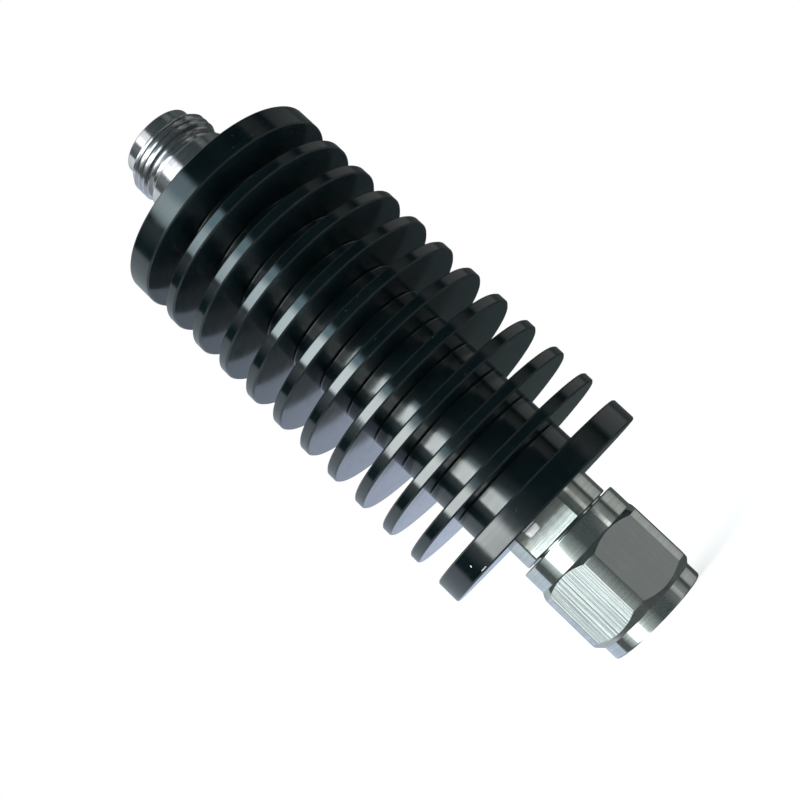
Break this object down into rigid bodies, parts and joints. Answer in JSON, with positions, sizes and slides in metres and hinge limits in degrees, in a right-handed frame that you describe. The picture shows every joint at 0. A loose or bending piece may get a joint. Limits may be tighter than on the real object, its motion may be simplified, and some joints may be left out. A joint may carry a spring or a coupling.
{
  "type": "coaxial attenuator",
  "caption": "Finned coaxial attenuator with a threaded female connector at one end and a male coupling nut at the other.",
  "frame": {"origin": "centre of the front face of the coupling nut, on the line of the connectors", "axes": "+Z along the line from the male end to the female end; -Y towards the side that the picture shows"},
  "size_m": [0.0384, 0.0384, 0.1099],
  "materials": {
    "black_anodised": "glossy black anodised, fine turning lines",
    "nickel_bright": "brass with bright nickel plating",
    "nickel_satin": "brass with satin nickel plating",
    "nickel_brushed": "brass with nickel plating, brushed along the flats",
    "ptfe": "white fluoropolymer",
    "brass_plain": "turned",
    "gold_plate": "gold plated",
    "gasket_rubber": "matt silicone rubber",
    "spring_bronze": "spring bronze",
    "bare_aluminium": "machined",
    "screw_steel": "dark steel",
    "alumina": "matt white ceramic",
    "resistor_ink": "black printed film",
    "gold_foil": "gold plated foil"
  },
  "bodies": {
    "attenuator": {"heat_sink": "black_anodised", "female_shell": "nickel_bright", "female_insulator": "ptfe", "female_bush": "brass_plain", "female_contact": "gold_plate", "male_body": "nickel_satin", "male_outer_contact": "nickel_bright", "male_insulator": "ptfe", "male_pin": "gold_plate", "nut_gasket": "gasket_rubber", "snap_ring": "spring_bronze", "element_carrier": "bare_aluminium", "element_cover": "bare_aluminium", "cover_screw_1": "screw_steel", "cover_screw_2": "screw_steel", "cover_screw_3": "screw_steel", "cover_screw_4": "screw_steel", "resistor_card": "alumina", "resistor_film": "resistor_ink", "male_ribbon": "gold_foil", "female_ribbon": "gold_foil"},
    "nut": {"coupling_nut": "nickel_brushed"}
  },
  "joints": [
    {"name": "nut_spin", "type": "hinge", "parent": "attenuator", "child": "nut", "pos_m": [0, 0, 0.0175], "axis": [0, 0, 1], "continuous": true}
  ]
}
